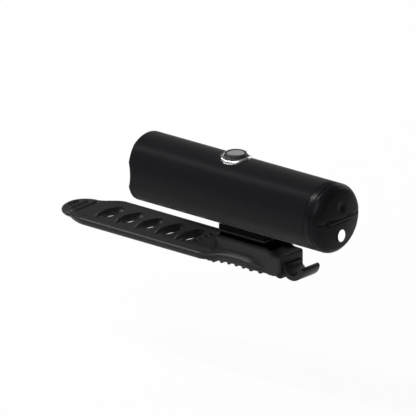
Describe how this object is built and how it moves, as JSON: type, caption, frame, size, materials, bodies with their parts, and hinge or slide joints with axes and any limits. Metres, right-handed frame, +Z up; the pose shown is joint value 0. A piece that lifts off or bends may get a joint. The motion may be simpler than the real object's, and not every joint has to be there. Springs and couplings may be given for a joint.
{
  "type": "bicycle headlight",
  "caption": "Round tube headlight for a handlebar, with a top button, a rear charging port under a rubber flap, and a slotted rubber strap that wraps the bar and catches on a hook.",
  "frame": {"origin": "tip of the middle rib under the cradle, where the part sits on the handlebar", "axes": "+X along the beam, +Y to the rider's left, +Z up"},
  "size_m": [0.173, 0.034, 0.0538],
  "materials": {
    "anodised_black": "satin black anodised",
    "black_plastic": "matte",
    "clear_lens": "clear polycarbonate",
    "seal_rubber": "matte",
    "reflector_silver": "metallised",
    "white_board": "white solder mask",
    "phosphor": "phosphor coat",
    "bare_aluminium": "machined",
    "grey_plastic": "matte",
    "cell_wrap": "shrink sleeve",
    "nickel": "nickel plated",
    "green_board": "solder mask",
    "bright_aluminium": "bright turned",
    "boot_rubber": "matte",
    "button_grey": "satin",
    "cap_black": "satin",
    "cover_rubber": "satin",
    "indicator_clear": "clear light pipe",
    "gloss_black": "gloss",
    "bracket_black": "semi gloss, glass filled",
    "strap_rubber": "matte"
  },
  "bodies": {
    "lamp": {"housing_tube": "anodised_black", "lens_ring": "black_plastic", "front_lens": "clear_lens", "lens_gasket": "seal_rubber", "reflector": "reflector_silver", "led_board": "white_board", "led_emitters": "phosphor", "heat_sink": "bare_aluminium", "inner_chassis": "grey_plastic", "battery_cell": "cell_wrap", "cell_tabs": "nickel", "cell_pad": "seal_rubber", "driver_board": "green_board", "switch_body": "grey_plastic", "button_ring": "bright_aluminium", "button_boot": "boot_rubber", "rear_cap": "cap_black", "rear_seal": "seal_rubber", "cap_screws": "nickel", "usb_socket": "nickel", "rear_board": "green_board", "indicator_led": "phosphor", "indicator_lens": "indicator_clear", "mount_foot": "gloss_black", "bracket_frame": "bracket_black", "bracket_screws": "nickel", "strap_cradle": "strap_rubber"},
    "button": {"button_cap": "button_grey"},
    "plunger": {"switch_plunger": "grey_plastic"},
    "cover": {"port_cover": "cover_rubber"},
    "span_1": {"strap_span_1": "strap_rubber"},
    "span_2": {"strap_span_2": "strap_rubber"},
    "span_3": {"strap_span_3": "strap_rubber"},
    "span_4": {"strap_span_4": "strap_rubber"},
    "span_5": {"strap_span_5": "strap_rubber"},
    "span_6": {"strap_span_6": "strap_rubber"}
  },
  "joints": [
    {"name": "button_press", "type": "slide", "parent": "lamp", "child": "button", "axis": [0, 0, -1], "range_m": [0, 0.0005], "stiffness_N_per_m": 1500},
    {"name": "switch_press", "type": "slide", "parent": "lamp", "child": "plunger", "axis": [0, 0, -1], "range_m": [0, 0.0006]},
    {"name": "cover_hinge", "type": "hinge", "parent": "lamp", "child": "cover", "pos_m": [-0.0558, 0, 0.0323], "axis": [0, -1, 0], "range_deg": [0, 90], "stiffness_Nm_per_rad": 0.004},
    {"name": "strap_bend_1", "type": "hinge", "parent": "lamp", "child": "span_1", "pos_m": [0.0193, 0, -0.0003], "axis": [0, 1, 0], "range_deg": [0, 56], "stiffness_Nm_per_rad": 0.05},
    {"name": "strap_bend_2", "type": "hinge", "parent": "span_1", "child": "span_2", "pos_m": [0.03205, 0, -0.0003], "axis": [0, 1, 0], "range_deg": [0, 62]},
    {"name": "strap_bend_3", "type": "hinge", "parent": "span_2", "child": "span_3", "pos_m": [0.04455, 0, -0.0003], "axis": [0, 1, 0], "range_deg": [0, 26]},
    {"name": "strap_bend_4", "type": "hinge", "parent": "span_3", "child": "span_4", "pos_m": [0.05705, 0, -0.0003], "axis": [0, 1, 0], "range_deg": [0, 26]},
    {"name": "strap_bend_5", "type": "hinge", "parent": "span_4", "child": "span_5", "pos_m": [0.06955, 0, -0.0003], "axis": [0, 1, 0], "range_deg": [0, 26]},
    {"name": "strap_bend_6", "type": "hinge", "parent": "span_5", "child": "span_6", "pos_m": [0.08205, 0, -0.0003], "axis": [0, 1, 0], "range_deg": [0, 21]}
  ],
  "couplings": [
    {"joint": "switch_press", "follows": "button_press", "ratio": 1},
    {"joint": "strap_bend_2", "follows": "strap_bend_1", "ratio": 1},
    {"joint": "strap_bend_3", "follows": "strap_bend_1", "ratio": 0.4166},
    {"joint": "strap_bend_4", "follows": "strap_bend_1", "ratio": 0.4166},
    {"joint": "strap_bend_5", "follows": "strap_bend_1", "ratio": 0.4166},
    {"joint": "strap_bend_6", "follows": "strap_bend_1", "ratio": 0.3333}
  ]
}
